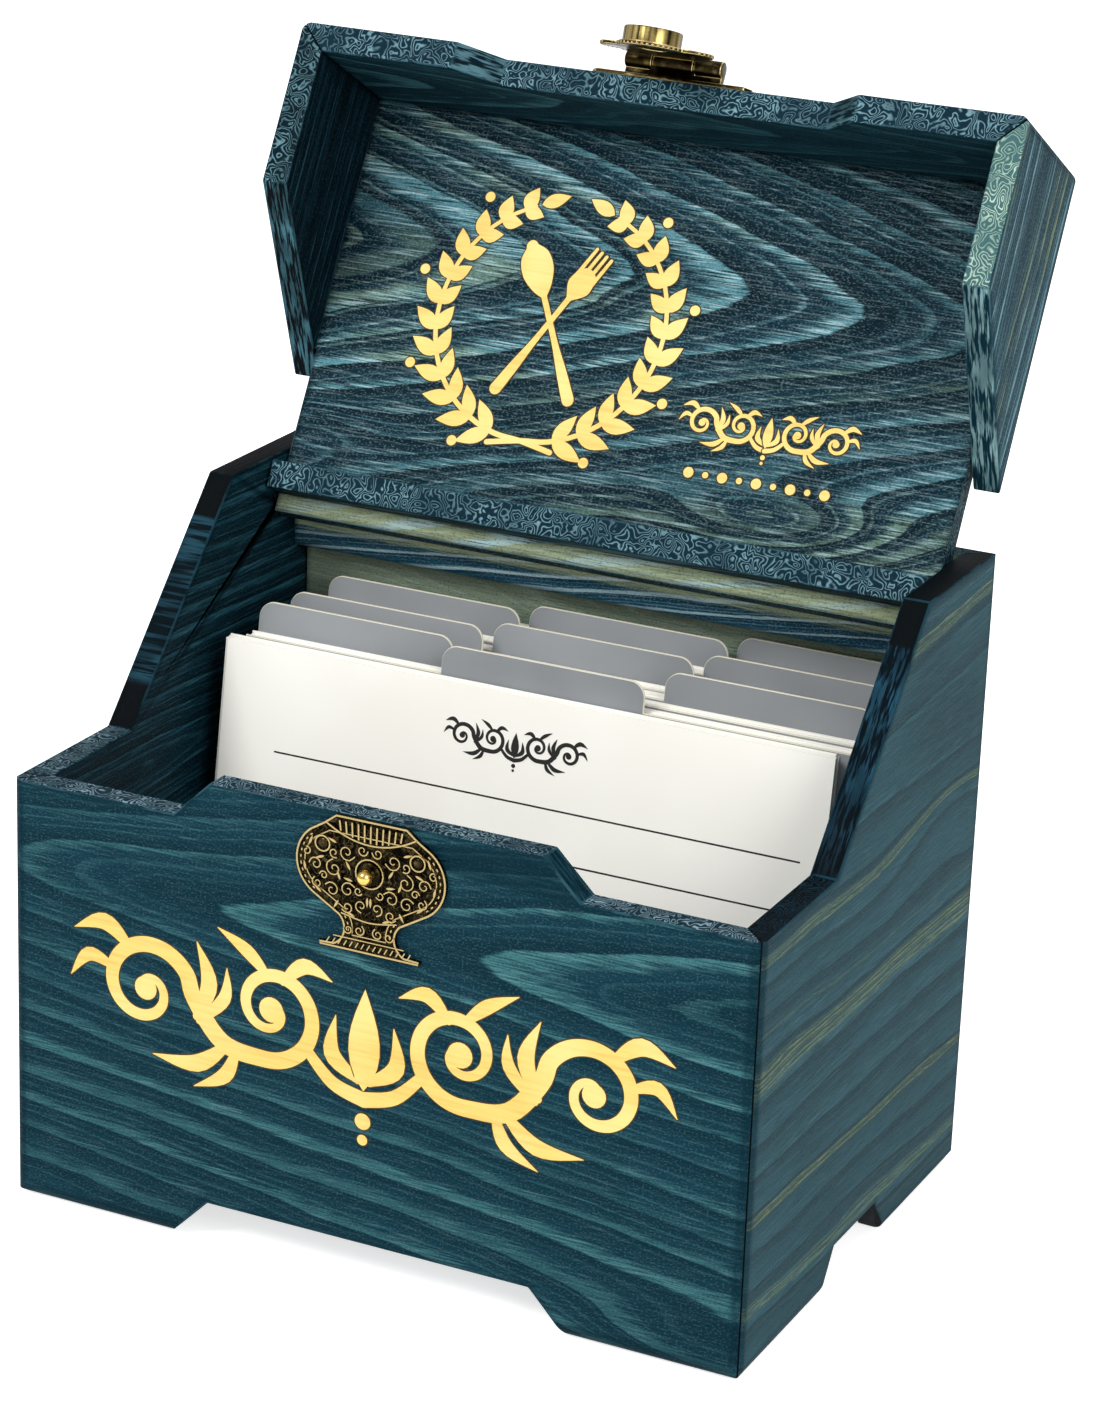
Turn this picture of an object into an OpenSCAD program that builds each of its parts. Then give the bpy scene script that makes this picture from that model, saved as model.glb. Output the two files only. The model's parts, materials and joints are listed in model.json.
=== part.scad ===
// Wooden recipe card box with a hinged chest lid, a hasp and a set of index cards.
// X runs to the right, Y to the back and Z up. The lid is drawn open, leaning on its stop.

/* [Box] */
// Outer width of the box
box_w = 180; // [175:1:230]
// Outer depth of the box
box_d = 126.5; // [120:1:170]
// Height of the tall rear corners
rear_h = 150; // [142:1:200]
// Height of the low front edge
front_h = 101; // [85:1:110]
// Thickness of the four walls
wall = 6.5; // [5:0.5:8]
// Depth over which the side walls stay low
low_run = 39.5; // [30:0.5:45]
// Depth over which the side walls slope up
slope_run = 45; // [35:1:50]
// Underside of the floor board above the table
floor_z = 10; // [10:0.5:14]
// Thickness of the floor board
floor_t = 4.5; // [3:0.5:6]

/* [Feet] */
// Height of the cut-out between the feet
arch_h = 9.7; // [6:0.1:9.9]
// Width of a front or rear foot, measured on the ground
foot_w = 40.6; // [25:0.1:50]
// Run of the sloping end of the front and rear cut-outs
foot_slope = 9.5; // [5:0.5:12]
// Depth of a side foot, measured on the ground
side_foot = 44.2; // [30:0.1:46]
// Run of the sloping end of the side cut-outs
side_foot_slope = 7.2; // [5:0.1:9]

/* [Front tongue] */
// Rise of the tongue above the front edge
tongue_h = 8.8; // [6:0.1:12]
// Width of the tongue along its top
tongue_top_w = 80; // [60:1:90]
// Run of each sloping end of the tongue
tongue_slope = 9; // [6:0.5:12]

/* [Lid] */
// Drop of the closed lid's top below the rear corners
lid_drop = 9.1; // [7:0.1:12]
// Thickness of the lid's front and cheeks
lid_wall = 6.5; // [5:0.5:8]
// Thickness of the lid's top board
lid_panel_t = 6; // [5:0.5:8]
// Angle between the closed lid and the open lid
open_angle = 119; // [105:1:125]
// Distance of the lid's pivot from the rear face of the box
pivot_back = 19.9; // [18:0.1:24]
// Overhang of the top board behind its pivot
panel_tail = 3; // [2:0.1:4]
// Width of the rail under the rear of the lid
lid_rail_w = 6.7; // [5:0.1:9]
// Height of the rail under the rear of the lid
lid_rail_h = 7; // [5:0.1:9]
// Gap between the closed lid and the front edge
lid_gap = 0.5; // [0.3:0.1:1]
// Level gap between the lid's cheeks and the sloping sides
slope_gap = 0.9; // [0.6:0.1:2]
// Gap between the lid's rear part and each side wall
side_gap = 0.6; // [0.4:0.1:1]

/* [Hinge pins and stop rail] */
// Diameter of the hidden hinge pins
pin_d = 2.4; // [2:0.1:3]
// Depth of the pin's blind hole in the side wall
pin_in_wall = 4.5; // [3:0.1:4.5]
// Depth of the pin's bore in the lid's top board
pin_in_lid = 12; // [8:1:20]
// Thickness of the fixed rail that the open lid leans on
stop_rail_t = 6.5; // [5:0.1:8]
// Height of the fixed rail
stop_rail_h = 18.2; // [12:0.1:22]
// Gap left between the open lid and the fixed rail
stop_gap = 0.35; // [0.3:0.05:0.6]

/* [Catch plate] */
// Thickness of the sheet brass fittings
brass_t = 1.0; // [0.8:0.1:1.2]
// Height of the vase-shaped catch plate
plate_h = 30.4; // [28:0.1:34]
// Distance of the plate's top below the tongue's top
plate_below = 0.3; // [0.2:0.1:1]
// Height of the stud above the plate's lower edge
stud_up = 18.6; // [17:0.1:20]
// Diameter of the stud's ball
stud_ball_d = 3.5; // [3:0.1:4]
// Reach of the stud in front of the box
stud_reach = 5.2; // [4.8:0.1:5.6]

/* [Hasp] */
// Height of the hasp's hinge above the lid's recess
hasp_up = 2.2; // [2:0.1:3]
// Distance of the hasp's hinge in front of the lid
hasp_out = 4.6; // [4.5:0.1:5]
// Diameter of the hasp's knuckles
knuckle_d = 3.8; // [3.4:0.1:4]
// Length of the middle knuckle
knuckle_mid = 10; // [8:1:12]
// Length of each outer knuckle
knuckle_end = 6.7; // [4:0.1:8]
// Diameter of the hasp's hinge pin
hasp_pin_d = 1.4; // [1.2:0.1:1.6]
// Thickness of the swinging flap
flap_t = 0.8; // [0.7:0.1:0.9]
// Angle at which the flap rests, in towards the box
flap_rest = 11; // [6:0.5:11]
// Diameter of the round boss
boss_d = 13.5; // [13:0.1:14]
// Height of the round boss
boss_h = 3.6; // [3.4:0.1:5]

/* [Cards] */
// Length of a card, a standard index card
card_w = 152.4; // [127:0.1:152.4]
// Height of a card
card_h = 101.6; // [76.2:0.1:101.6]
// Angle at which the cards lean back
card_lean = 8; // [4:0.5:10]
// Thickness of one card
card_t = 0.5; // [0.3:0.1:0.6]
// Thickness of one divider
divider_t = 0.7; // [0.5:0.1:1]
// Rise of a divider's tab above the cards
tab_h = 6.8; // [5:0.1:9]
// Room between the last divider's tab and the rear wall
back_room = 1.9; // [0.5:0.1:4]
// Distance from the first card to the first divider
first_gap = 4.1; // [3:0.1:5]
// Distance from one divider to the next
divider_pitch = 5.12; // [3:0.01:5.2]

/* [Hidden] */
$fn = 64;

teal = "#1d4a58";
dark_teal = "#15323d";
slate = "#3c5a66";
antique = "#6b5a33";
bright = "#c9a75a";
steel = "#8c8f92";
cream = "#efece4";
grey = "#8b8f96";

half_w = box_w / 2;
inner_w = half_w - wall;
inner_back = box_d - wall;
rise = rear_h - front_h;
slope_top = low_run + slope_run;
front_arch = half_w - foot_w;
floor_top = floor_z + floor_t;
tongue_top = front_h + tongue_h;
tongue_half = tongue_top_w / 2;

// The lid is described closed, and swung to its open place by lid_open().
lid_top = rear_h - lid_drop;
lid_bottom = front_h + lid_gap;
lid_under = lid_top - lid_panel_t;
lid_inner = half_w - lid_wall;
lid_narrow = inner_w - side_gap;
pivot_y = box_d - pivot_back;
pivot_z = lid_top - lid_panel_t / 2;
knee_y = slope_at(lid_bottom) - slope_gap;
tip_y = slope_at(lid_top) - slope_gap;
notch_gap = 0.4;
notch_y = slope_at(lid_under) - slope_gap - notch_gap;
rail_rear = pivot_y - 1.3;
recess_top = tongue_top + lid_gap;
recess_gap = 0.7;

// The open lid's outer face leans on the top front edge of the fixed rail.
stop_y = inner_back - stop_rail_t;
stop_run = (stop_y - stop_gap - pivot_y - sin(open_angle) * lid_panel_t / 2) / -cos(open_angle);
stop_z = pivot_z + sin(open_angle) * stop_run + cos(open_angle) * lid_panel_t / 2;

// Clearances of pins and bores, measured on the radius.
running = 0.05;
push_fit = 0.02;
end_play = 0.1;
// Length by which a cut runs past the face that it opens
over = 1;

plate_top = tongue_top - plate_below;
plate_bottom = plate_top - plate_h;
stud_z = plate_bottom + stud_up;
hasp_z = recess_top + hasp_up;
hasp_y = -hasp_out;
knuckle_r = knuckle_d / 2;
knuckle_gap = 0.3;
boss_v = (hasp_z - stud_z) / cos(flap_rest);
tack_r = 1.2;
tack_head = 0.5;
tack_shank_r = 0.5;
tack_deep = 4;
// Each pair of tacks: half the distance between them, and their height
plate_tack = [11.4, plate_bottom + 23.4];
base_tack = [14.4, hasp_z + 4.6];
stud_shank_r = 1.1;
stud_deep = 4.5;
stud_hole_r = stud_ball_d / 2 + 1.75;
boss_rim = 1.6;
boss_crown = 0.8;

lean_shift = tan(card_lean);
card_rise = card_h * cos(card_lean);
sheet_gap = 0.05;
tab_w = card_w / 3;
tab_r = 3.8;
// Which third of each divider's top carries its tab, from front to back
tab_place = [1, 0, 2, 0, 1, 2, 0, 1, 2];
divider_count = len(tab_place);
// The cards stand off the box's middle by a share of the room beside them.
side_room = inner_w - card_w / 2;
front_card_shift = -0.18 * side_room;
divider_share = [0.25, 0.27, 0.3, 0.6, 0.63, 0.66, 0.85, 0.86, 0.88];
stack_back = inner_back - back_room - (card_rise + tab_h) * lean_shift;
stack_front = stack_back - divider_t - (divider_count - 1) * divider_pitch - first_gap;

// The origin lies under the middle of the whole object, with the lid open.
rear_most = pivot_y - cos(open_angle) * pivot_y + sin(open_angle) * lid_panel_t / 2;
origin_y = (rear_most - stud_reach) / 2;

// Depth at which the sides' slope reaches a height
function slope_at(z) = low_run + (z - front_h) * slope_run / rise;

// Points along an arc about c, from angle a to angle b
function arc(c, r, a, b, n) = [for (i = [0:n]) c + r * [cos(a + (b - a) * i / n), sin(a + (b - a) * i / n)]];

function mirrored(points) = [for (i = [len(points) - 1:-1:0]) [-points[i][0], points[i][1]]];

module placed() {
    translate([0, -origin_y, 0]) children();
}

// Swings what is drawn on the closed lid to the open lid's place
module lid_open() {
    placed()
        translate([0, pivot_y, pivot_z])
            rotate([-open_angle, 0, 0])
                translate([0, -pivot_y, -pivot_z]) children();
}

// Swings what is drawn on a plumb flap to the flap's resting place
module flap_hang() {
    lid_open()
        translate([0, hasp_y, hasp_z])
            rotate([flap_rest, 0, 0]) children();
}

// A board whose outline is drawn in X and Z, from y0 to y1
module upright(y0, y1) {
    translate([0, y1, 0]) rotate([90, 0, 0]) linear_extrude(y1 - y0) children();
}

// A board whose outline is drawn in Y and Z, from x0 to x1
module sideways(x0, x1) {
    translate([x0, 0, 0]) rotate([90, 0, 90]) linear_extrude(x1 - x0) children();
}

// Mitred end block of a wall along X, seen from above, with its outer face at y = 0
module mitred_bar(thick, z0, z1) {
    translate([0, 0, z0]) linear_extrude(z1 - z0)
        polygon([[-half_w, 0], [half_w, 0], [half_w - thick, thick], [thick - half_w, thick]]);
}

module front_outline() {
    foot_in = front_arch - foot_slope;
    polygon([[-half_w, 0], [-front_arch, 0], [-foot_in, arch_h], [foot_in, arch_h],
             [front_arch, 0], [half_w, 0], [half_w, front_h],
             [tongue_half + tongue_slope, front_h], [tongue_half, tongue_top],
             [-tongue_half, tongue_top], [-tongue_half - tongue_slope, front_h],
             [-half_w, front_h]]);
}

module front_panel() {
    color(teal) placed() difference() {
        intersection() {
            mitred_bar(wall, 0, tongue_top);
            upright(0, wall) front_outline();
        }
        tack_holes(plate_tack);
        stud_hole();
    }
}

module back_panel() {
    foot_in = front_arch - foot_slope;
    color(teal) placed() intersection() {
        translate([0, box_d, 0]) mirror([0, 1, 0]) mitred_bar(wall, 0, rear_h);
        upright(inner_back, box_d)
            polygon([[-half_w, 0], [-front_arch, 0], [-foot_in, arch_h], [foot_in, arch_h],
                     [front_arch, 0], [half_w, 0], [half_w, rear_h], [-half_w, rear_h]]);
    }
}

module side_outline() {
    arch_front = side_foot + side_foot_slope;
    polygon([[0, 0], [side_foot, 0], [arch_front, arch_h], [box_d - arch_front, arch_h],
             [box_d - side_foot, 0], [box_d, 0], [box_d, rear_h], [slope_top, rear_h],
             [low_run, front_h], [0, front_h]]);
}

module right_side() {
    difference() {
        intersection() {
            linear_extrude(rear_h)
                polygon([[half_w, 0], [half_w, box_d], [inner_w, inner_back], [inner_w, wall]]);
            sideways(inner_w, half_w) side_outline();
        }
        translate([inner_w - over, pivot_y, pivot_z]) rotate([0, 90, 0])
            cylinder(r = pin_d / 2 + push_fit, h = pin_in_wall + over);
    }
}

module right_side_panel() {
    color(slate) placed() right_side();
}

module left_side_panel() {
    color(dark_teal) placed() mirror([1, 0, 0]) right_side();
}

module floor_panel() {
    color(dark_teal) placed()
        translate([-inner_w, wall, floor_z]) cube([2 * inner_w, inner_back - wall, floor_t]);
}

module back_rail() {
    color(teal) placed()
        translate([-inner_w, stop_y, stop_z - stop_rail_h])
            cube([2 * inner_w, stop_rail_t, stop_rail_h]);
}

module hinge_pin() {
    translate([lid_narrow - pin_in_lid + end_play, pivot_y, pivot_z]) rotate([0, 90, 0])
        cylinder(d = pin_d, h = pin_in_lid + side_gap + pin_in_wall - 2 * end_play);
}

module right_hinge_pin() {
    color(steel) placed() hinge_pin();
}

module left_hinge_pin() {
    color(steel) placed() mirror([1, 0, 0]) hinge_pin();
}

module lid_top_panel() {
    tail_y = pivot_y + panel_tail;
    color(dark_teal) lid_open() difference() {
        union() {
            translate([-lid_inner, lid_wall, lid_under])
                cube([2 * lid_inner, notch_y - lid_wall, lid_panel_t]);
            translate([-lid_narrow, lid_wall, lid_under])
                cube([2 * lid_narrow, tail_y - lid_wall, lid_panel_t]);
        }
        for (side = [-1, 1])
            translate([side * lid_narrow, pivot_y, pivot_z]) rotate([0, -90 * side, 0])
                translate([0, 0, -over])
                    cylinder(r = pin_d / 2 + running, h = pin_in_lid + over);
    }
}

// The apron's lower edge is cut away to clear the tongue.
module apron_outline() {
    top_half = tongue_half + recess_gap;
    foot_half = top_half + tongue_slope;
    polygon([[-half_w, lid_bottom], [-foot_half, lid_bottom], [-top_half, recess_top],
             [top_half, recess_top], [foot_half, lid_bottom], [half_w, lid_bottom],
             [half_w, lid_top], [-half_w, lid_top]]);
}

module lid_front_apron() {
    color(teal) lid_open() difference() {
        intersection() {
            mitred_bar(lid_wall, lid_bottom, lid_top);
            upright(0, lid_wall) apron_outline();
        }
        tack_holes(base_tack);
    }
}

module cheek() {
    intersection() {
        translate([0, 0, lid_bottom]) linear_extrude(lid_top - lid_bottom)
            polygon([[half_w, 0], [half_w, tip_y], [lid_inner, tip_y], [lid_inner, lid_wall]]);
        sideways(lid_inner, half_w)
            polygon([[0, lid_bottom], [knee_y, lid_bottom], [tip_y, lid_top], [0, lid_top]]);
    }
}

module lid_right_cheek() {
    color(slate) lid_open() cheek();
}

module lid_left_cheek() {
    color(dark_teal) lid_open() mirror([1, 0, 0]) cheek();
}

module lid_rear_rail() {
    color(teal) lid_open()
        translate([-lid_narrow, rail_rear - lid_rail_w, lid_under - lid_rail_h])
            cube([2 * lid_narrow, lid_rail_w, lid_rail_h]);
}

// Right half of the vase: mouth, lip, bowl, hollow neck and foot, about the plate's lower edge
function vase_side() =
    let (mouth = 8.5, lip = 11.2, lip_drop = 2.1, bowl = [9, 19.1], bowl_r = 9,
         neck = [10.3, 4.8], neck_r = 4.1, foot = 12, foot_edge = [12.3, 0.9])
    concat([[mouth, plate_h], [lip, plate_h - lip_drop]],
           arc(bowl, bowl_r, 52, -62, 14),
           arc(neck, neck_r, 135, 245, 10),
           [foot_edge, [foot, 0]]);

// Holes for a pair of tacks, through a plate and into the wood behind it
module tack_holes(place) {
    for (side = [-1, 1])
        translate([side * place[0], tack_deep + end_play, place[1]]) rotate([90, 0, 0])
            cylinder(r = tack_shank_r + push_fit, h = tack_deep + end_play + 2 * brass_t);
}

// Two tacks whose round heads lie on a plate's face
module tack_pair(place) {
    for (side = [-1, 1])
        translate([side * place[0], 0, place[1]]) rotate([90, 0, 0]) {
            translate([0, 0, brass_t]) cylinder(r = tack_r, h = tack_head);
            translate([0, 0, -tack_deep]) cylinder(r = tack_shank_r, h = tack_deep + brass_t + tack_head);
        }
}

module stud_hole() {
    translate([0, stud_deep + end_play, stud_z]) rotate([90, 0, 0])
        cylinder(r = stud_shank_r + push_fit, h = stud_deep + end_play + 2 * brass_t);
}

module catch_plate() {
    color(antique) placed() difference() {
        upright(-brass_t, 0)
            translate([0, plate_bottom]) polygon(concat(vase_side(), mirrored(vase_side())));
        tack_holes(plate_tack);
        stud_hole();
    }
}

module catch_plate_tacks() {
    color(bright) placed() tack_pair(plate_tack);
}

module catch_stud() {
    collar_r = 2.6;
    collar_h = 0.8;
    ball_r = stud_ball_d / 2;
    ball_up = stud_reach - ball_r;
    color(bright) placed() translate([0, 0, stud_z]) rotate([90, 0, 0]) {
        translate([0, 0, brass_t]) cylinder(r = collar_r, h = collar_h);
        translate([0, 0, -stud_deep]) cylinder(r = stud_shank_r, h = stud_deep + ball_up);
        translate([0, 0, ball_up]) sphere(r = ball_r);
    }
}

// Right half of the hasp's fixed plate, about the hinge: end, lobe, hollow and middle point
function base_side() =
    let (corner = [18.5, -1.6], end = [20, 0.2], lobe = [14.6, 4.4], lobe_r = 4.4,
         hollow = [9, 12.4], hollow_r = 4.6, shoulder = [3.4, 13.6], point = [0, 15.4])
    concat([corner, end],
           arc(lobe, lobe_r, 0, 96, 8),
           arc(hollow, hollow_r, 318, 200, 8),
           [shoulder, point]);

module hasp_base_plate() {
    plate_points = concat(base_side(), mirrored(base_side()));
    ends = knuckle_mid / 2 + knuckle_gap;
    color(antique) lid_open() difference() {
        union() {
            upright(-brass_t, 0) translate([0, hasp_z]) polygon(plate_points);
            for (side = [0, 1]) mirror([side, 0, 0]) {
                translate([ends, hasp_y, hasp_z]) rotate([0, 90, 0])
                    cylinder(r = knuckle_r, h = knuckle_end);
                translate([ends, hasp_y, hasp_z])
                    cube([knuckle_end, hasp_out - brass_t / 2, knuckle_r]);
            }
        }
        translate([-half_w, hasp_y, hasp_z]) rotate([0, 90, 0])
            cylinder(r = hasp_pin_d / 2 + push_fit, h = box_w);
        tack_holes(base_tack);
    }
}

module hasp_plate_tacks() {
    color(bright) lid_open() tack_pair(base_tack);
}

module hasp_hinge_pin() {
    reach = knuckle_mid / 2 + knuckle_gap + knuckle_end;
    color(antique) lid_open() translate([-reach, hasp_y, hasp_z]) rotate([0, 90, 0])
        cylinder(d = hasp_pin_d, h = 2 * reach);
}

// Outline of the flap, hanging down from its hinge at the origin: neck, chin, ears and shoulders
module flap_outline() {
    neck = knuckle_mid / 2;
    chin_r = 8.6;
    chin_v = boss_v - 1.7;
    ear = [9.1, boss_v - 3.3];
    ear_r = 4.6;
    shoulder = [8, boss_v - 8.7];
    shoulder_r = 3.2;
    translate([-neck, -shoulder[1]]) square([2 * neck, shoulder[1]]);
    translate([-chin_r, -chin_v]) square([2 * chin_r, chin_v - shoulder[1] + shoulder_r]);
    translate([0, -chin_v]) circle(r = chin_r);
    for (side = [-1, 1]) {
        translate([side * ear[0], -ear[1]]) circle(r = ear_r);
        translate([side * shoulder[0], -shoulder[1]]) circle(r = shoulder_r);
    }
}

module hasp_flap() {
    color(antique) flap_hang() difference() {
        union() {
            rotate([0, 90, 0]) translate([0, 0, -knuckle_mid / 2])
                cylinder(r = knuckle_r, h = knuckle_mid);
            upright(-knuckle_r, flap_t - knuckle_r) flap_outline();
        }
        rotate([0, 90, 0]) translate([0, 0, -half_w])
            cylinder(r = hasp_pin_d / 2 + running, h = box_w);
        translate([0, 0, -boss_v]) rotate([90, 0, 0]) cylinder(r = stud_hole_r, h = knuckle_d);
    }
}

module hasp_boss() {
    color(antique) flap_hang() translate([0, -knuckle_r, -boss_v]) rotate([90, 0, 0])
        difference() {
            cylinder(d = boss_d, h = boss_h);
            translate([0, 0, -over])
                cylinder(r = boss_d / 2 - boss_rim, h = boss_h - boss_crown + over);
        }
}

// A leaning sheet or pack on the floor: x0 to x1, thick deep, with its foot at y
module leaning(x0, x1, y, thick, high) {
    top = floor_top + high;
    shift = high * lean_shift;
    sideways(x0, x1)
        polygon([[y, floor_top], [y + thick, floor_top], [y + thick + shift, top], [y + shift, top]]);
}

module front_card() {
    color(cream) placed()
        leaning(front_card_shift - card_w / 2, front_card_shift + card_w / 2,
                stack_front, card_t, card_rise);
}

function divider_y(i) = stack_front + first_gap + i * divider_pitch;

function divider_x(i) = divider_share[i] * side_room;

// A divider is a card with a round-cornered tab on one third of its top.
module divider(i) {
    left = divider_x(i) - card_w / 2;
    tab_left = left + tab_place[i] * tab_w;
    tab_top = card_rise + tab_h;
    color(grey) placed() intersection() {
        leaning(left, left + card_w, divider_y(i), divider_t, tab_top);
        upright(0, box_d) translate([0, floor_top]) {
            translate([left, 0]) square([card_w, card_rise]);
            translate([tab_left, 0]) square([tab_w, tab_top - tab_r]);
            translate([tab_left + tab_r, 0]) square([tab_w - 2 * tab_r, tab_top]);
            for (x = [tab_left + tab_r, tab_left + tab_w - tab_r])
                translate([x, tab_top - tab_r]) circle(r = tab_r);
        }
    }
}

// The cards between one divider and the next, as one block
module card_pack(i) {
    front = i == 0 ? stack_front + card_t : divider_y(i - 1) + divider_t;
    back = divider_y(i);
    middle = i == 0 ? front_card_shift : divider_x(i - 1);
    color(cream) placed()
        leaning(middle - card_w / 2, middle + card_w / 2, front + sheet_gap,
                back - front - 2 * sheet_gap, card_rise);
}

front_panel();
left_side_panel();
right_side_panel();
back_panel();
floor_panel();
back_rail();
left_hinge_pin();
right_hinge_pin();
catch_plate();
catch_plate_tacks();
catch_stud();
lid_top_panel();
lid_front_apron();
lid_left_cheek();
lid_right_cheek();
lid_rear_rail();
hasp_base_plate();
hasp_plate_tacks();
hasp_hinge_pin();
hasp_flap();
hasp_boss();
front_card();
divider(0);  // divider_1
divider(1);  // divider_2
divider(2);  // divider_3
divider(3);  // divider_4
divider(4);  // divider_5
divider(5);  // divider_6
divider(6);  // divider_7
divider(7);  // divider_8
divider(8);  // divider_9
card_pack(0);  // card_pack_1
card_pack(1);  // card_pack_2
card_pack(2);  // card_pack_3
card_pack(3);  // card_pack_4
card_pack(4);  // card_pack_5
card_pack(5);  // card_pack_6
card_pack(6);  // card_pack_7
card_pack(7);  // card_pack_8
card_pack(8);  // card_pack_9
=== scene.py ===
# Looks of a wooden recipe card box: stained boards, antique brass fittings, cards and dividers.
import json
import math
import random

import bmesh
import bpy
from mathutils import Matrix, Vector


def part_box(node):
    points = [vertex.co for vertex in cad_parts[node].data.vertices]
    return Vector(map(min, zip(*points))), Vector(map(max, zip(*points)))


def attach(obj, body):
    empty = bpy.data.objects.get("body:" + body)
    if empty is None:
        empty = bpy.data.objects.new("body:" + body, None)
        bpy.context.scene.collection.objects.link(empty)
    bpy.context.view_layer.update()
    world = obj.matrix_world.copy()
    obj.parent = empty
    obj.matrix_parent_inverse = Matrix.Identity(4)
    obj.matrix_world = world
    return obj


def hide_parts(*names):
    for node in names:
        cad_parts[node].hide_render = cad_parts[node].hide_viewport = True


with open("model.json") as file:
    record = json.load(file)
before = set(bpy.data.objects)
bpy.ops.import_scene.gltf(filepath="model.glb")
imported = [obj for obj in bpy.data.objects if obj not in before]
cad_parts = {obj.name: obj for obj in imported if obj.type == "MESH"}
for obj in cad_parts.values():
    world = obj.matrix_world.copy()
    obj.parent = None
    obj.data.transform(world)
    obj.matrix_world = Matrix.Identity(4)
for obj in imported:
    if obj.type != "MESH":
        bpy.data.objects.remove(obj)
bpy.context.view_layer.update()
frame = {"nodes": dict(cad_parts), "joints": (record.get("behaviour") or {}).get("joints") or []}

MM = 0.001
FRONT_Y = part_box("front_panel")[0].y
BACK_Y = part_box("back_panel")[1].y
HALF_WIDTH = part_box("front_panel")[1].x
SIDE_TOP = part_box("right_side_panel")[1].z
FLOOR_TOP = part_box("floor_panel")[1].z

JOINTS = {joint["name"]: joint for joint in frame["joints"]}
LID_PIVOT = Vector(JOINTS["lid_hinge"]["pos_m"])
HASP_PIVOT = Vector(JOINTS["hasp_hinge"]["pos_m"])
OPEN_ANGLE = math.radians(JOINTS["lid_hinge"]["range_deg"][1])
FLAP_REST = math.radians(11)

# The lid's turn from closed to open, and back
SWING = Matrix.Rotation(-OPEN_ANGLE, 4, "X")
LID_OPEN = Matrix.Translation(LID_PIVOT) @ SWING @ Matrix.Translation(-LID_PIVOT)
LID_CLOSED = LID_OPEN.inverted()
HASP_CLOSED = LID_CLOSED @ HASP_PIVOT
STUD_Z = (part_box("catch_stud")[0].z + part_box("catch_stud")[1].z) / 2
BOSS_DROP = (HASP_CLOSED.z - STUD_Z) / math.cos(FLAP_REST)


# Colours

def linear(code):
    """The linear colour of a web colour such as #1d4a58."""
    channels = [int(code[i:i + 2], 16) / 255 for i in (1, 3, 5)]
    return [c / 12.92 if c <= 0.04045 else ((c + 0.055) / 1.055) ** 2.4 for c in channels] + [1]


# Materials

# How fast a board's stretched patterns change along, across and through it, per mm
SLOW_BENDS = (0.011, 0.04, 0.04)
QUICK_BENDS = (0.035, 0.16, 0.16)
FRAYS = (0.09, 1.7, 1.7)
GROOVES = (0.1, 2.5, 2.5)
HAIRS = (0.09, 2.2, 2.2)
GRIT = (1.8, 2.6, 2.6)
PATCHES = (0.01, 0.05, 0.05)
LONG_RIDGES = (0.14, 0.14, 1.3)
CROSS_RIDGES = (0.85, 0.85, 0.05)
# The black of the rims' ends: painted shade under the open lid at the top of the slopes.
RIM_BLACK = "#03080c"


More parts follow.
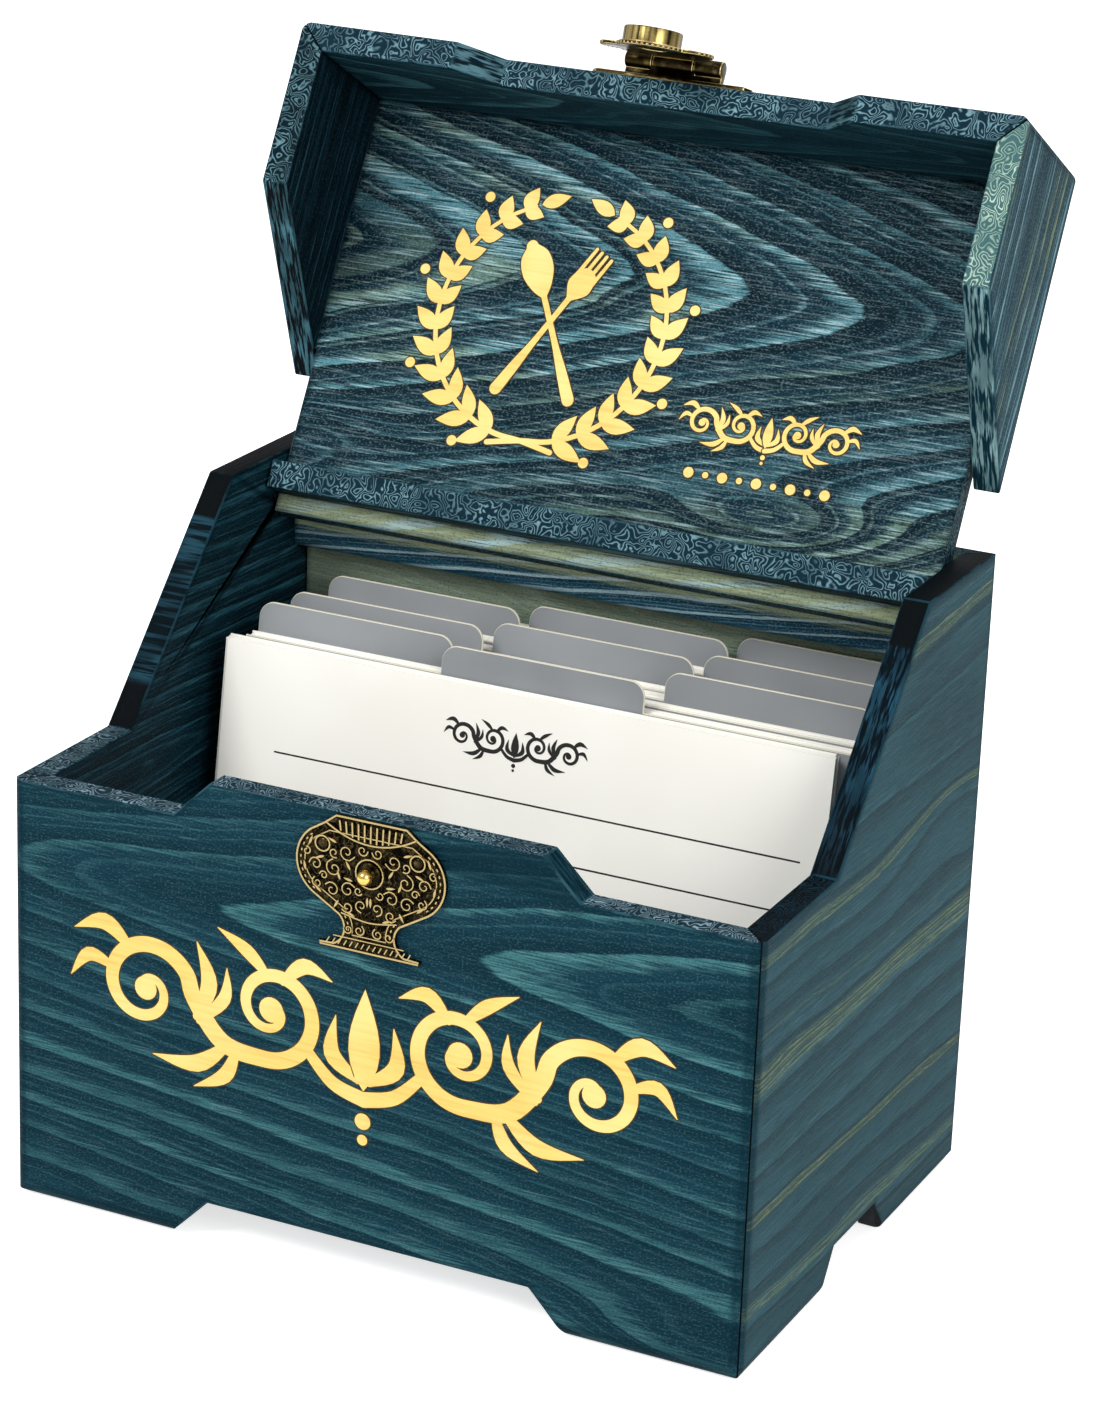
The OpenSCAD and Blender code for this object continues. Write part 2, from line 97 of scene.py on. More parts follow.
class Net:
    """The nodes of a material or world. Most calls add a node and return its output."""

    def __init__(self, name, kind="materials"):
        self.owner = getattr(bpy.data, kind).new(name)
        self.owner.use_nodes = True
        self.tree = self.owner.node_tree
        self.tree.nodes.clear()

    def put(self, socket, value):
        """Links an output to a socket, or sets a number, a vector or a web colour on it."""
        if isinstance(value, bpy.types.NodeSocket):
            self.tree.links.new(value, socket)
        else:
            socket.default_value = linear(value) if isinstance(value, str) else value

    def node(self, kind, values=(), inputs=None, **settings):
        """A shader node, whose inputs are given in order, or by name or number."""
        made = self.tree.nodes.new("ShaderNode" + kind)
        for key, value in settings.items():
            setattr(made, key, value)
        for socket, value in zip(made.inputs, values):
            self.put(socket, value)
        for key, value in (inputs or {}).items():
            self.put(made.inputs[key], value)
        return made

    def attribute(self, name, output="Fac"):
        """What the mesh holds under a name: one number, or its Vector."""
        return self.node("Attribute", attribute_name=name).outputs[output]

    def math(self, operation, *values):
        return self.node("Math", values, operation=operation).outputs[0]

    def times(self, a, b, plus=None):
        """a times b, plus a third value if there is one."""
        if plus is None:
            return self.math("MULTIPLY", a, b)
        return self.math("MULTIPLY_ADD", a, b, plus)

    def vector(self, operation, *values):
        made = self.node("VectorMath", values, operation=operation)
        return made.outputs["Value" if operation == "DOT_PRODUCT" else "Vector"]

    def object_mm(self):
        """The place in the object's own frame, in mm."""
        return self.vector("MULTIPLY", self.node("TexCoord").outputs["Object"], (1000, 1000, 1000))

    def noise(self, place, scale=1.0, detail=2.0, rough=0.5, distortion=0.0):
        """A soft random pattern, which three scales stretch along the axes."""
        if isinstance(scale, tuple):
            place, scale = self.vector("MULTIPLY", place, scale), 1.0
        inputs = {"Scale": scale, "Detail": detail, "Roughness": rough, "Distortion": distortion}
        return self.node("TexNoise", inputs={"Vector": place, **inputs}).outputs[0]

    def noise_line(self, w, rough):
        """A random pattern along a single number."""
        inputs = {"W": w, "Scale": 1.0, "Detail": 1.0, "Roughness": rough}
        return self.node("TexNoise", inputs=inputs, noise_dimensions="1D").outputs[0]

    def random(self, w):
        """The same random number from 0 to 1 for the same w."""
        return self.node("TexWhiteNoise", inputs={"W": w}, noise_dimensions="1D").outputs["Value"]

    def step(self, value, low, high, to_low=0.0, to_high=1.0):
        """A smooth step between two values."""
        given = (value, low, high, to_low, to_high)
        return self.node("MapRange", given, interpolation_type="SMOOTHSTEP").outputs[0]

    def mix(self, share, a, b):
        """Color a, with a share of color b."""
        return self.node("Mix", inputs={0: share, 6: a, 7: b}, data_type="RGBA").outputs[2]

    def ripples(self, place, scale, count, width, distortion=0.6):
        """Thin wandering lines: the contour lines of a noise."""
        field = self.times(self.noise(place, scale, 1.5, 0.5, distortion), count)
        wave = self.math("ABSOLUTE", self.math("SINE", field))
        return self.step(wave, width, 0.0)

    def finish(self, color, roughness, height=None, depth=0.1, **constants):
        """A Principled shader. Height is a pattern from 0 to 1, and depth its real depth in mm."""
        shader = self.node("BsdfPrincipled", inputs={"Base Color": color, "Roughness": roughness})
        for key, value in constants.items():
            shader.inputs[key.replace("_", " ")].default_value = value
        if height is not None:
            bump = {"Strength": 1.0, "Distance": depth * MM, "Height": height}
            self.put(shader.inputs["Normal"], self.node("Bump", inputs=bump).outputs[0])
        return self.show(shader)

    def show(self, shader, kind="OutputMaterial"):
        """Lets the material or world show a shader, and returns it."""
        self.put(self.node(kind).inputs[0], shader.outputs[0])
        return self.owner


def count_rings(n, place, arch, wave, eyes):
    """Counts growth rings over a board, which arch about a line as they do on a flat-sawn board.

    The arch is (along, across, spacing, reach, roundness). Each eye is (along, across, reach,
    reach, rings) and gives closed rings.
    """
    along, across, spacing, reach, roundness = arch
    away = n.vector("SUBTRACT", place, (along, across, 0))
    over = n.vector("DOT_PRODUCT", away, (0, 1 / spacing, 0))
    over = n.math("SQRT", n.times(over, over, roundness ** 2))
    field = n.math("ADD", over, n.vector("DOT_PRODUCT", away, (1 / reach, 0, 0)))
    field = n.times(n.noise(place, SLOW_BENDS), wave, field)
    field = n.times(n.noise(place, QUICK_BENDS), 0.12 * wave, field)
    for along, across, reach_along, reach_across, rings in eyes:
        away = n.vector("SUBTRACT", place, (along, across, 0))
        away = n.vector("MULTIPLY", away, (1 / reach_along, 1 / reach_across, 0))
        fall = n.times(n.vector("DOT_PRODUCT", away, away), -1.0)
        field = n.times(n.math("EXPONENT", fall), rings, field)
    return field


def ring_tone(n, field, frays, widest, least, fray=0.9):
    """Pale bands with a crisp outer edge, which fray into the darker wood on their inner side."""
    back = n.times(field, -1.0)
    part = n.math("FRACT", back)
    ring = n.math("FLOOR", back)
    reach = n.times(n.random(ring), widest, 0.08)
    depth = n.math("SUBTRACT", n.times(frays, fray, part), reach)
    inner = n.step(depth, 0.65 * fray + 0.02, 0.4 * fray - 0.02)
    strength = n.times(n.random(n.math("ADD", ring, 0.5)), 1 - least, least)
    return n.times(n.times(n.step(part, 0.0, 0.04), inner), strength)


def fibres(n, place, scale, shift, low, high):
    """Short thin lines along the grain."""
    shifted = n.vector("ADD", place, (shift, shift, shift))
    return n.step(n.noise(shifted, scale, 1.0), low, high)


def rim_tone(n, place, ridges):
    """The texture of a board's narrow faces: fine whorls, or ridges where the rim slants."""
    whorls = n.ripples(place, 0.24, 42.0, 0.8, 0.3)
    patches = n.step(n.noise(place, 0.11, 1.0), 0.35, 0.65, 0.4, 1.0)
    lines = n.step(n.noise(place, ridges, 2.0, 0.6), 0.44, 0.58, 0.0, 0.9)
    change = n.math("SUBTRACT", lines, whorls)
    return n.times(n.times(change, n.attribute("ridge"), whorls), patches)


def rim_color(n, place, rim, ridges, black_rim_ends):
    """The colour of a board's narrow faces, black at the ends of its slope if asked: painted shade at
    its upper end, under the open lid.
    """
    share = rim_tone(n, place, ridges)
    level = n.mix(share, *rim[:2])
    slanting = n.mix(share, *rim[2:])
    if not black_rim_ends:
        return n.mix(n.attribute("ridge"), level, slanting)
    low, blur, high = black_rim_ends
    height = n.vector("DOT_PRODUCT", place, (0, 1, 0))
    slanting = n.mix(n.step(height, low + blur, low - blur), slanting, RIM_BLACK)
    color = n.mix(n.attribute("ridge"), level, slanting)
    # Black above high: painted shade under the open lid.
    return n.mix(n.step(height, high, high + 0.8), color, RIM_BLACK)


def wood(name, palette, arch, wave=2.0, eyes=(), widest=0.4, thin=0.5, least=0.2,
         pale_hairs=0.4, dark_hairs=0.5, fray=0.9, tint=None, top=None, streak=None,
         rim=("#041820", "#4f747e", "#041820", "#3c5f69"), ridges=LONG_RIDGES, wear_and_highlight="#335763",
         black_rim_ends=None):
    """Stained and brushed wood, which reads the attributes that board() gives it.

    Its palette runs from the deepest stain to the palest hair. Tint is (color, threshold) and
    comes in patches, top is (color, low, high, skin) and comes with height on the inner face, and
    streak is (color, threshold) and follows the rings. Rim is the darkest and palest colour of a
    level rim, then of a slanting one. The last argument is (low, blur, high): a rim is black above
    high, as painted shade under the open lid, and below low where it slants.
    """
    deep, dark, light, pale = palette
    n = Net(name)
    place = n.attribute("grain", "Vector")
    frays = n.noise(place, FRAYS, 2.0, 0.6)
    field = n.times(frays, 0.1, count_rings(n, place, arch, wave, eyes))
    bands = ring_tone(n, field, frays, widest, least, fray)
    lines = ring_tone(n, n.times(field, 3.7, 50.0), frays, 0.3, 0.0)
    tone = n.math("MAXIMUM", bands, n.times(lines, thin))
    inside = n.math("FRACT", n.times(field, -1.0))
    shade = n.step(inside, 0.35, 1.0, 0.0, 0.65)
    cloud = n.step(n.noise(place, 0.02), 0.35, 0.7, 0.0, 0.5)
    color = n.mix(n.math("MAXIMUM", shade, cloud), dark, deep)
    if tint:
        code, threshold = tint
        patch = n.noise(place, PATCHES, 1.0)
        light = n.mix(n.step(patch, threshold, threshold + 0.1), light, code)
    # A paler colour with height on the inner face; on the back rail it is painted light that lifts
    # the shadow under the lid's tail.
    if top:
        code, low, high, skin = top
        height = n.vector("DOT_PRODUCT", place, (0, 1, 0))
        share = n.step(n.times(frays, 4.0, height), low + 2.0, high + 2.0)
        through = n.vector("DOT_PRODUCT", place, (0, 0, 1))
        share = n.times(share, n.math("LESS_THAN", through, skin))
        color = n.mix(share, color, code)
        light = n.mix(share, light, pale)
    color = n.mix(tone, color, light)
    if streak:
        code, threshold = streak
        strip = n.noise_line(n.times(field, 1.3, 90.0), 0.5)
        strip = n.step(strip, threshold, threshold + 0.05, 0.06, 1.0)
        inner = n.noise_line(n.times(field, 26.0, 7.0), 0.6)
        share = n.times(strip, n.step(inner, 0.5, 0.6, 0.15, 0.8))
        color = n.mix(share, color, code)
        share = n.times(strip, n.step(inner, 0.42, 0.34, 0.0, 0.55))
        color = n.mix(share, color, deep)
    show = n.times(tone, 0.7 * dark_hairs, 0.3 * dark_hairs)
    grooves = fibres(n, place, GROOVES, 0.0, 0.5, 0.62)
    color = n.mix(n.times(grooves, show), color, deep)
    show = n.times(tone, 0.85 * pale_hairs, 0.15 * pale_hairs)
    hairs = fibres(n, place, HAIRS, 40.0, 0.54, 0.66)
    color = n.mix(n.times(hairs, show), color, pale)
    grit = n.noise(place, GRIT, 0.0)
    color = n.mix(n.step(grit, 0.56, 0.75, 0.0, 0.12), color, pale)
    color = n.mix(n.step(grit, 0.44, 0.25, 0.0, 0.35), color, deep)
    on_rim = n.attribute("rim")
    color = n.mix(on_rim, color, rim_color(n, place, rim, ridges, black_rim_ends))
    margin = n.math("POWER", n.attribute("margin"), 1.5)
    margin = n.times(margin, n.math("SUBTRACT", 1.0, on_rim))
    color = n.mix(n.times(margin, 0.6), color, deep)
    # Rounded edges take the edge colour: rubbed wear, and a painted highlight along the edges.
    wear_and_highlight_share = n.step(n.noise(place, 0.16), 0.4, 0.62, 0.05, 0.6)
    color = n.mix(n.times(n.attribute("edge"), wear_and_highlight_share), color, wear_and_highlight)
    color = n.mix(n.attribute("seam"), color, "#02080b")
    relief = n.times(grooves, -0.6, n.times(tone, 0.3, 0.6))
    return n.finish(color, n.times(frays, 0.15, 0.5), relief, 0.08, Specular_IOR_Level=0.04)


def brass(name, hollow, ridge, wear_and_highlight=0.85, lines=0.0, rough=0.38):
    """Antique brass: dark in its hollows, its edges paler as rubbed wear and a painted highlight,
    with chased lines if asked.
    """
    n = Net(name)
    place = n.object_mm()
    cloud = n.noise(place, 0.35, 3.0, 0.6)
    # Rounded edges turn paler: rubbed wear, and a painted highlight.
    share = n.times(n.attribute("edge"), wear_and_highlight)
    height = cloud
    if lines:
        height = n.ripples(place, 0.5, 12.0, 0.5, 1.0)
        share = n.math("MAXIMUM", share, n.times(height, lines))
    share = n.math("ADD", share, n.step(cloud, 0.45, 0.8, 0.0, 0.2))
    color = n.mix(n.math("MINIMUM", share, 1.0), hollow, ridge)
    return n.finish(color, n.times(cloud, 0.2, rough - 0.1), height, 0.06, Metallic=1.0)


def turned_brass(name, hollow, ridge, rough=0.3):
    """Brass with painted reflections: light and dark streaks up a turned piece's side, laid out by
    its grain attribute.
    """
    n = Net(name)
    place = n.attribute("grain", "Vector")
    # Light and dark streaks up the side: painted reflections of the lamps.
    painted_reflection_streaks = n.noise(place, (0.26, 0.03, 1.0), 1.0)
    marks = n.noise(place, (0.3, 6.0, 1.0))
    share = n.step(n.times(marks, 0.15, painted_reflection_streaks), 0.42, 0.82)
    share = n.math("MAXIMUM", share, n.attribute("edge"))
    color = n.mix(share, hollow, ridge)
    return n.finish(color, n.times(marks, 0.15, rough - 0.05), marks, 0.01, Metallic=1.0)


def plain_metal(name, color, rough):
    """Polished metal with fine marks along its x axis."""
    n = Net(name)
    marks = n.noise(n.object_mm(), (0.2, 4.0, 4.0))
    shade = n.mix(n.step(marks, 0.3, 0.8, 0.0, 0.25), color, "#5a4a2c")
    return n.finish(shade, n.times(marks, 0.15, rough - 0.07), marks, 0.01, Metallic=1.0)


def paper(name, color, shade, rim, rough=0.75):
    """Card stock with a soft cloud in its tone and a paler or darker cut edge."""
    n = Net(name)
    place = n.object_mm()
    cloud = n.noise(place, 0.02)
    pulp = n.noise(place, 3.0, 3.0, 0.7)
    tint = n.mix(n.step(cloud, 0.35, 0.65), color, shade)
    tint = n.mix(n.attribute("rim"), tint, rim)
    return n.finish(tint, n.times(pulp, 0.1, rough - 0.05), pulp, 0.01, Specular_IOR_Level=0.3)


def bare_wood(name):
    """Pale wood that shows where the stain is cut away."""
    n = Net(name)
    place = n.object_mm()
    lines = n.noise(place, (0.05, 0.9, 0.9), 3.0, 0.6)
    cloud = n.noise(place, 0.05, 1.0)
    color = n.mix(n.step(lines, 0.4, 0.8, 0.0, 0.7), "#e3c46c", "#c9a24c")
    color = n.mix(n.step(cloud, 0.4, 0.7, 0.0, 0.6), color, "#edd68c")
    return n.finish(color, n.times(lines, 0.2, 0.45), lines, 0.03, Specular_IOR_Level=0.3)


def plain(name, color, shade, rough=0.6):
    """A matt surface whose colour wanders between two shades."""
    n = Net(name)
    cloud = n.noise(n.object_mm(), 0.8, 3.0, 0.6)
    tint = n.mix(cloud, color, shade)
    return n.finish(tint, rough, cloud, 0.02, Specular_IOR_Level=0.3)


# Mesh helpers

SHARP_ANGLE = math.radians(15)
JOINT_AREA = 100 * MM * MM
LARGE_AREA = 350 * MM * MM
SEAM_REACH = 0.35 * MM


def add(name, data):
    """An object of the scene that shows the data."""
    made = bpy.data.objects.new(name, data)
    bpy.context.scene.collection.objects.link(made)
    return made


def mesh_of(name, bm):
    """A mesh of what bm holds, which is freed."""
    mesh = bpy.data.meshes.new(name)
    bm.to_mesh(mesh)
    bm.free()
    return mesh


def piece(name, shape, body, material, replaces=(), smooth=None):
    """Adds a mesh or bmesh as a piece that rides on a body."""
    mesh = mesh_of(name, shape) if isinstance(shape, bmesh.types.BMesh) else shape
    mesh.name = name
    made = add(name, mesh)
    mesh.materials.clear()
    mesh.materials.append(material)
    if smooth is not None:
        mesh.shade_smooth()
        mesh.set_sharp_from_angle(angle=math.radians(smooth))
    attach(made, body)
    if replaces:
        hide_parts(*replaces)


def tangents(corner, one, other, radius, count=8):
    """Planes, as places and normals, that round an edge between two faces' inward directions."""
    for i in range(count):
        a = math.radians(90 * (i + 0.5) / count)
        normal = -(Vector(one) * math.cos(a) + Vector(other) * math.sin(a))
        yield Vector(corner) + (Vector(one) + Vector(other) + normal) * radius * MM, normal


def round_outline(bm, turn, corner=2.4, foot=3.0):
    """Rounds the box's upright corners, lower edges and upper rear corner, in each board's share."""
    cuts = []
    for side in (-1, 1):
        x = side * HALF_WIDTH
        cuts += tangents((x, 0, 0), (-side, 0, 0), (0, 0, 1), foot)
        for y, way in ((FRONT_Y, 1), (BACK_Y, -1)):
            cuts += tangents((x, y, 0), (-side, 0, 0), (0, way, 0), corner)
    for y, way in ((FRONT_Y, 1), (BACK_Y, -1)):
        cuts += tangents((0, y, 0), (0, way, 0), (0, 0, 1), foot)
    cuts += tangents((0, BACK_Y, SIDE_TOP), (0, -1, 0), (0, 0, -1), corner)
    for place, normal in cuts:
        parts = [*bm.verts, *bm.edges, *bm.faces]
        cut = bmesh.ops.bisect_plane(bm, geom=parts, dist=1e-7, plane_co=turn @ place,
                                     plane_no=turn.to_3x3() @ normal, clear_outer=True)
        rim = [part for part in cut["geom_cut"] if isinstance(part, bmesh.types.BMEdge)]
        if rim:
            bmesh.ops.edgeloop_fill(bm, edges=rim)
    bmesh.ops.recalc_face_normals(bm, faces=bm.faces)


def eased(node, width, segments=2, shortest=2.5, turn=None):
    """A copy of a CAD node's mesh with rounded edges, whose rounded faces have the edge attribute."""
    bm = bmesh.new()
    bm.from_mesh(frame["nodes"][node].data)
    bmesh.ops.remove_doubles(bm, verts=bm.verts, dist=1e-6)
    bmesh.ops.dissolve_limit(bm, angle_limit=math.radians(1), verts=bm.verts, edges=bm.edges)
    if turn:
        round_outline(bm, turn)
    weight = bm.edges.layers.float.new("bevel_weight_edge")
    for edge in bm.edges:
        if len(edge.link_faces) == 2 and edge.calc_length() > shortest * MM:
            if edge.calc_face_angle() > SHARP_ANGLE:
                mitred = any(is_slanting(face.normal, face.calc_area()) for face in edge.link_faces)
                edge[weight] = 0.5 if mitred else 1.0
    mesh = mesh_of("tmp", bm)
    mesh.materials.append(None)
    mesh.materials.append(None)
    holder = add("tmp", mesh)
    bevel = holder.modifiers.new("bevel", "BEVEL")
    bevel.width = width * MM
    bevel.segments = segments
    bevel.limit_method = "WEIGHT"
    bevel.material = 1
    bevel.use_clamp_overlap = False
    view = bpy.context.evaluated_depsgraph_get()
    made = bpy.data.meshes.new_from_object(holder.evaluated_get(view))
    bpy.data.objects.remove(holder)
    rounded = made.attributes.new("edge", "FLOAT", "FACE")
    seam = made.attributes.new("seam", "FLOAT", "FACE")
    joints = [(face.center.copy(), face.normal.copy()) for face in made.polygons
              if face.material_index == 0 and is_slanting(face.normal, face.area)]
    for face in made.polygons:
        if face.material_index == 1:
            at_joint = any(abs((face.center - spot).dot(way)) < SEAM_REACH for spot, way in joints)
            rounded.data[face.index].value = float(not at_joint)
            seam.data[face.index].value = float(at_joint)
        face.material_index = 0
    return made


def is_slanting(normal, area):
    """True for the slanting face of a mitred corner."""
    return 0.6 < abs(normal.x) < 0.8 and area > JOINT_AREA


def add_margins(mesh, width=1.6):
    """Insets the large faces, and gives the mesh a margin attribute: 1 at their edges, 0 inside."""
    bm = bmesh.new()
    bm.from_mesh(mesh)
    margin = bm.verts.layers.float.new("margin")
    for vert in bm.verts:
        vert[margin] = 1.0
    large = [face for face in bm.faces if face.calc_area() > LARGE_AREA]
    bmesh.ops.inset_individual(bm, faces=large, thickness=width * MM, use_even_offset=True)
    for face in large:
        for vert in face.verts:
            vert[margin] = 0.0
    bm.to_mesh(mesh)
    bm.free()


def board(node, body, axes, look):
    """A board with eased edges, whose grain attribute runs along, across and through it, in mm."""
    turn = LID_CLOSED if body == "lid" else Matrix.Identity(4)
    mesh = eased(node, 0.4, turn=turn.inverted())
    add_margins(mesh)
    origin = Vector((0, FRONT_Y, 0))
    grain = mesh.attributes.new("grain", "FLOAT_VECTOR", "POINT")
    for vertex in mesh.vertices:
        place = (turn @ vertex.co - origin) / MM
        grain.data[vertex.index].vector = [place[axis] for axis in axes]
    rim = mesh.attributes.new("rim", "FLOAT", "FACE")
    ridge = mesh.attributes.new("ridge", "FLOAT", "FACE")
    spin = turn.to_3x3()
    for face in mesh.polygons:
        along, across, through = [abs((spin @ face.normal)[axis]) for axis in axes]
        rim.data[face.index].value = float(through < 0.6)
        ridge.data[face.index].value = float(through < 0.6 and min(along, across) > 0.3)
    piece(node + "_board", mesh, body, look, [node], smooth=30)


def point(bm, place, x, y, z):
    """A vertex at a place on a plane, in mm."""
    return bm.verts.new(place @ Vector((x * MM, y * MM, z * MM)))


def bridge(bm, front, rear):
    """Faces between two closed rows of as many points."""
    for i in range(len(front)):
        j = (i + 1) % len(front)
        bm.faces.new((front[j], front[i], rear[i], rear[j]))


def prism(bm, front, rear):
    """A solid between two outlines of as many points."""
    bm.faces.new(front)
    bm.faces.new(rear[::-1])
    bridge(bm, front, rear)


def smooth_line(points, steps):
    """Points of a curve through the given (x, y, width) points."""
    ends = [points[0], *points, points[-1]]
    made = []
    for a, b, c, d in zip(ends, ends[1:], ends[2:], ends[3:]):
        for i in range(steps):
            t = i / steps
            made.append(tuple(
                0.5 * (2 * q + (r - p) * t + (2 * p - 5 * q + 4 * r - s) * t * t
                       + (3 * q - p - 3 * r + s) * t ** 3)
                for p, q, r, s in zip(a, b, c, d)))
    return made + [tuple(points[-1])]


def spiral(center, start_r, end_r, start, turns, width, taper, count):
    """Points of a scroll, from outside to inside."""
    made = []
    for i in range(count + 1):
        t = i / count
        r = start_r + (end_r - start_r) * t
        a = math.radians(start + 360 * turns * t)
        made.append((center[0] + r * math.cos(a), center[1] + r * math.sin(a),
                     width * (1 - (1 - taper) * t)))
    return made


def arc(center, r, start, end, count):
    """Points along an arc, with angles in degrees."""
    turns = [math.radians(start + (end - start) * i / count) for i in range(count + 1)]
    return [(center[0] + r * math.cos(a), center[1] + r * math.sin(a)) for a in turns]


def flip(points):
    """The points, mirrored from right to left."""
    return [(-x, y, width) for x, y, width in points]


class Relief:
    """Strokes, leaves and dots drawn on a flat face and raised from it, in mm."""

    def __init__(self, plane, top, foot=-0.05):
        self.bm = bmesh.new()
        self.plane = plane
        self.top = top
        self.foot = foot
        self.count = 0

    def next_top(self):
        """The next part's height: each is a hair above the last, so that none coincide."""
        self.count += 1
        return self.top + 0.0015 * (self.count - 1)

    def lift(self, outline):
        """Raises a closed outline."""
        top = self.next_top()
        upper = [point(self.bm, self.plane, x, y, top) for x, y in outline]
        lower = [point(self.bm, self.plane, x, y, self.foot) for x, y in outline]
        self.bm.faces.new(upper)
        bridge(self.bm, upper, lower)

    def stroke(self, points, extra=0.0, steps=8):
        """A line that swells and thins, with round ends, in short overlapping lengths."""
        line = smooth_line(points, steps)
        left, right = [], []
        for i, (x, y, width) in enumerate(line):
            ax, ay, _ = line[max(i - 1, 0)]
            bx, by, _ = line[min(i + 1, len(line) - 1)]
            length = math.hypot(bx - ax, by - ay) or 1.0
            half = max(width, 0.02) / 2 + extra
            nx, ny = -(by - ay) / length * half, (bx - ax) / length * half
            left.append((x + nx, y + ny))
            right.append((x - nx, y - ny))
        top = self.next_top()
        heights = (self.foot, top, top, self.foot)
        rows = [[point(self.bm, self.plane, *p, h) for p, h in zip((a, a, b, b), heights)]
                for a, b in zip(left, right)]
        for one, two in zip(rows, rows[1:]):
            for k in range(3):
                self.bm.faces.new((one[k], one[k + 1], two[k + 1], two[k]))
        for end in (0, -1):
            x, y, width = line[end]
            if width > 0.1 or extra:
                self.dot(x, y, max(width, 0.02) / 2 + extra, 12)

    def closed(self, points, width):
        """A thin line round a closed outline."""
        line = [(x, y, width) for x, y in points]
        self.stroke(line + line[:1], 0, 1)

    def dot(self, x, y, r, sides=20):
        """A round dot."""
        self.lift(arc((x, y), r, 0, 360, sides)[:-1])

    def leaf(self, x, y, angle, length, width, extra=0.0):
        """A pointed leaf that starts at (x, y)."""
        c, s = math.cos(math.radians(angle)), math.sin(math.radians(angle))
        side = [(length * t, width / 2 * math.sin(math.pi * t ** 0.8) + extra)
                for t in [i / 8 for i in range(1, 8)]]
        other_side = [(a, -b) for a, b in side[::-1]]
        outline = [(-extra, 0), *side, (length + extra, 0), *other_side]
        self.lift([(x + a * c - b * s, y + a * s + b * c) for a, b in outline][::-1])


def turned(place, profile, sides=48, bm=None):
    """Turns (radius, height) points in mm about place's Z axis, and returns the bmesh."""
    bm = bm or bmesh.new()
    grain = bm.verts.layers.float_vector.get("grain") or bm.verts.layers.float_vector.new("grain")
    widest = max(r for r, h in profile)
    rows = []
    for r, h in profile:
        row = []
        for i in range(sides):
            a = 2 * math.pi * i / sides
            row.append(point(bm, place, r * math.cos(a), r * math.sin(a), h))
            row[-1][grain] = (widest * math.sin(a), h + widest - r, widest * math.cos(a))
        rows.append(row)
    for lower, upper in zip(rows, rows[1:]):
        bridge(bm, upper, lower)
    bm.faces.new(rows[-1])
    bm.faces.new(rows[0][::-1])
    return bm


# Planes on which the ornament is drawn: x to the right, y up, and z out of the face

def closed_box(node):
    """A lid node's lowest and highest corners with the lid closed."""
    places = [LID_CLOSED @ vertex.co for vertex in frame["nodes"][node].data.vertices]
    return [Vector([pick(p[i] for p in places) for i in range(3)]) for pick in (min, max)]


def plane(origin, right, up):
    """A frame at origin whose Z points out of the face."""
    x, y = Vector(right), Vector(up)
    z = x.cross(y)
    made = Matrix((x, y, z)).transposed().to_4x4()
    made.translation = Vector(origin)
    return made


def upright(y, z, x=0):
    """The plane through a point whose Z points to the front."""
    return plane((x, y, z), (1, 0, 0), (0, 0, 1))


PANEL_LOW = closed_box("lid_top_panel")[0]
PANEL_PLANE = LID_OPEN @ plane((0, PANEL_LOW.y + 43.5 * MM, PANEL_LOW.z), (1, 0, 0), (0, -1, 0))


# Boards

# The axes that run along, across and through a board
ALONG_X = (0, 2, 1)
ALONG_Y = (1, 2, 0)
FLAT = (0, 1, 2)

# In mm behind the front: just past the back panel's inner face, and the lid rail's rear end
BACK_SKIN = (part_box("back_panel")[0].y - FRONT_Y) / MM + 0.5
TAIL_Y = (closed_box("lid_rear_rail")[1].y - FRONT_Y) / MM

board("front_panel", "box", ALONG_X, wood(
    "front_wood", ("#001f2a", "#0e323f", "#38676d", "#6a9198"), (-62, 83, 7.5, -60, 0.8),
    wave=1.1, eyes=[(80, 4, 30, 10, -1.2)], widest=0.28, thin=0.35, pale_hairs=0.3,
    dark_hairs=0.6, rim=("#0e2631", "#7c96a1", "#001f2a", "#244b59")))
board("back_panel", "box", ALONG_X, wood(
    "back_wood", ("#062530", "#1d4248", "#5a746c", "#a3b3a2"), (40, 90, 9, 60, 0.9),
    tint=("#6c7c60", 0.4), top=("#83937f", 96, 122, BACK_SKIN)))
board("right_side_panel", "box", ALONG_Y, look=wood(
    "side_wood", ("#08252f", "#1c424d", "#274e59", "#557680"), (150, 118, 9, -300, 0.5), wave=1.0,
    eyes=[(108, 92, 26, 9, 1.0)], thin=0.4, pale_hairs=0.35, dark_hairs=0.6,
    streak=("#6c7a58", 0.58), rim=("#000306", "#0f3040", "#000a12", "#1f4659"), wear_and_highlight="#1c3f4c",
    black_rim_ends=(108, 14, 141)))
# The left side's palette is darkened as painted shade, for its inner face deep in the box.
board("left_side_panel", "box", ALONG_Y, wood(
    "shaded_left_wood", ("#000d13", "#06202b", "#22505f", "#4a7885"), (90, 90, 4.5, 120, 0.8), wave=1.4,
    widest=0.3, dark_hairs=0.7, rim=("#0c212b", "#6a8792", "#000d13", "#1d3f4e"),
    ridges=CROSS_RIDGES, wear_and_highlight="#1c3f4c", black_rim_ends=(110, 1, 141)))
board("floor_panel", "box", FLAT, wood(
    "floor_wood", ("#03202a", "#0f3644", "#2f5f6b", "#5a848d"), (0, 60, 9, 70, 1.0), wave=2.4))
